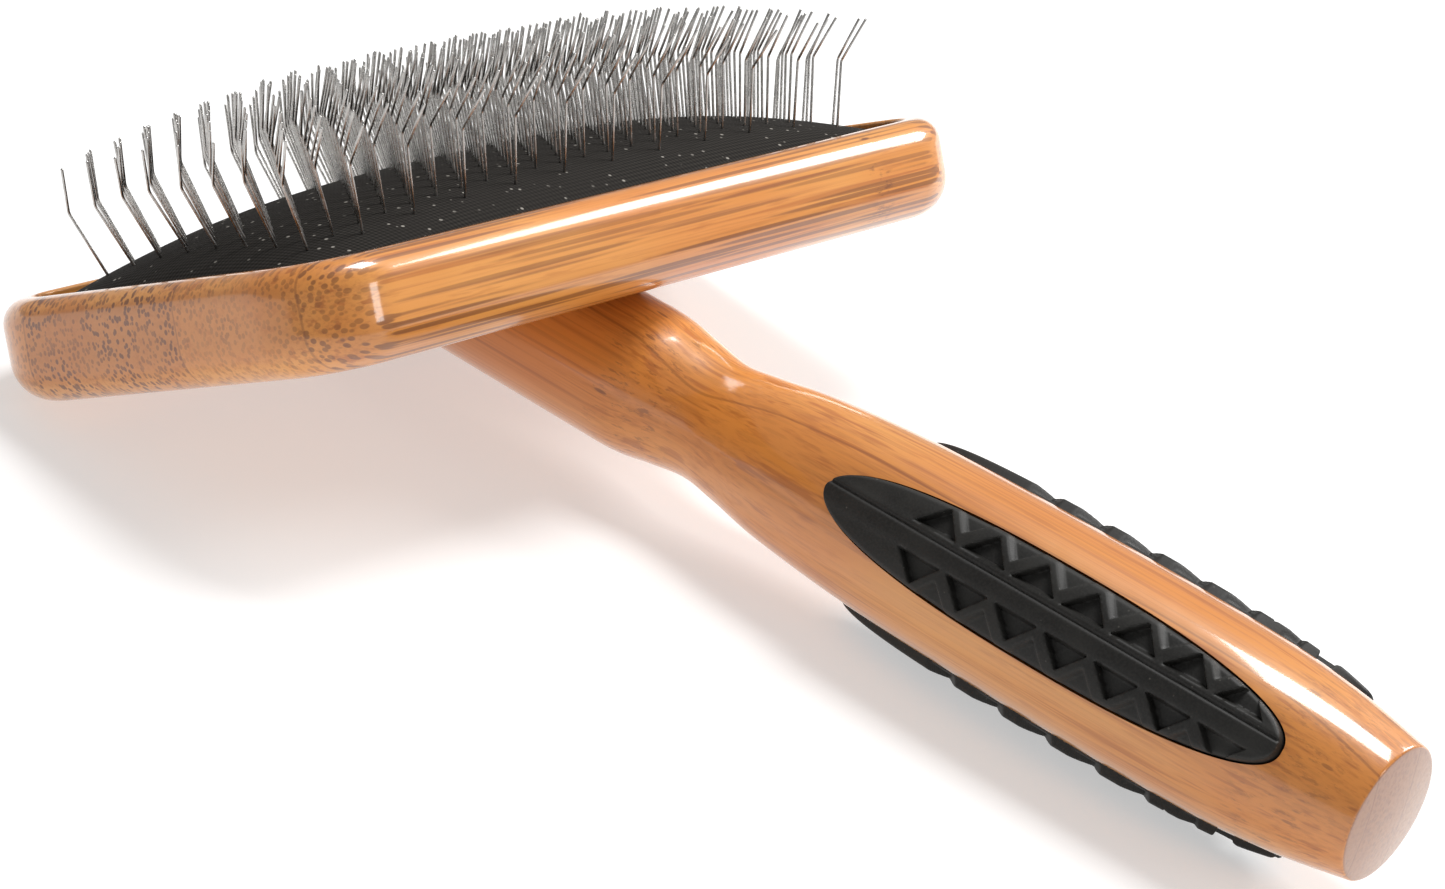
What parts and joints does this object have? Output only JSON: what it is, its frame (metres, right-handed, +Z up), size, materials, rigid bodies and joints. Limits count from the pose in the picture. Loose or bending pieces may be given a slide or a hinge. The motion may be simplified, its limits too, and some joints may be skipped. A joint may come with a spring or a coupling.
{
  "type": "bristle brush",
  "caption": "Grooming brush with a rectangular bamboo head, a domed black cushion full of bent wire pins, and a turned bamboo handle with ribbed rubber grips.",
  "frame": {"origin": "middle of the brush's footprint, at the lowest point, lying on its back with the pins up", "axes": "+X along the handle's axis from the head to the handle's end, +Y along the head's long side, +Z up"},
  "size_m": [0.1848, 0.132, 0.0566],
  "materials": {
    "bamboo_head": "clear satin lacquer",
    "bamboo_handle": "clear satin lacquer",
    "grip_rubber": "matte moulded rubber",
    "pad_rubber": "matte, finely textured",
    "foam": "open-cell foam",
    "pin_steel": "bright drawn wire",
    "screw_steel": "zinc-plated"
  },
  "bodies": {
    "brush": {"head_frame": "bamboo_head", "handle": "bamboo_handle", "grip_left": "grip_rubber", "grip_right": "grip_rubber", "grip_under": "grip_rubber", "cushion_foam": "foam", "handle_screw_1": "screw_steel", "handle_screw_2": "screw_steel"},
    "pad": {"pad_foundation": "pad_rubber", "pin_row_01": "pin_steel", "pin_row_02": "pin_steel", "pin_row_03": "pin_steel", "pin_row_04": "pin_steel", "pin_row_05": "pin_steel", "pin_row_06": "pin_steel", "pin_row_07": "pin_steel", "pin_row_08": "pin_steel", "pin_row_09": "pin_steel", "pin_row_10": "pin_steel", "pin_row_11": "pin_steel", "pin_row_12": "pin_steel", "pin_row_13": "pin_steel", "pin_row_14": "pin_steel", "pin_row_15": "pin_steel", "pin_row_16": "pin_steel", "pin_row_17": "pin_steel"}
  },
  "joints": [
    {"name": "pad_press", "type": "slide", "parent": "brush", "child": "pad", "axis": [0.4909, 0, -0.8712], "range_m": [0, 0.0018], "stiffness_N_per_m": 3000, "deforming": ["cushion_foam"]}
  ]
}
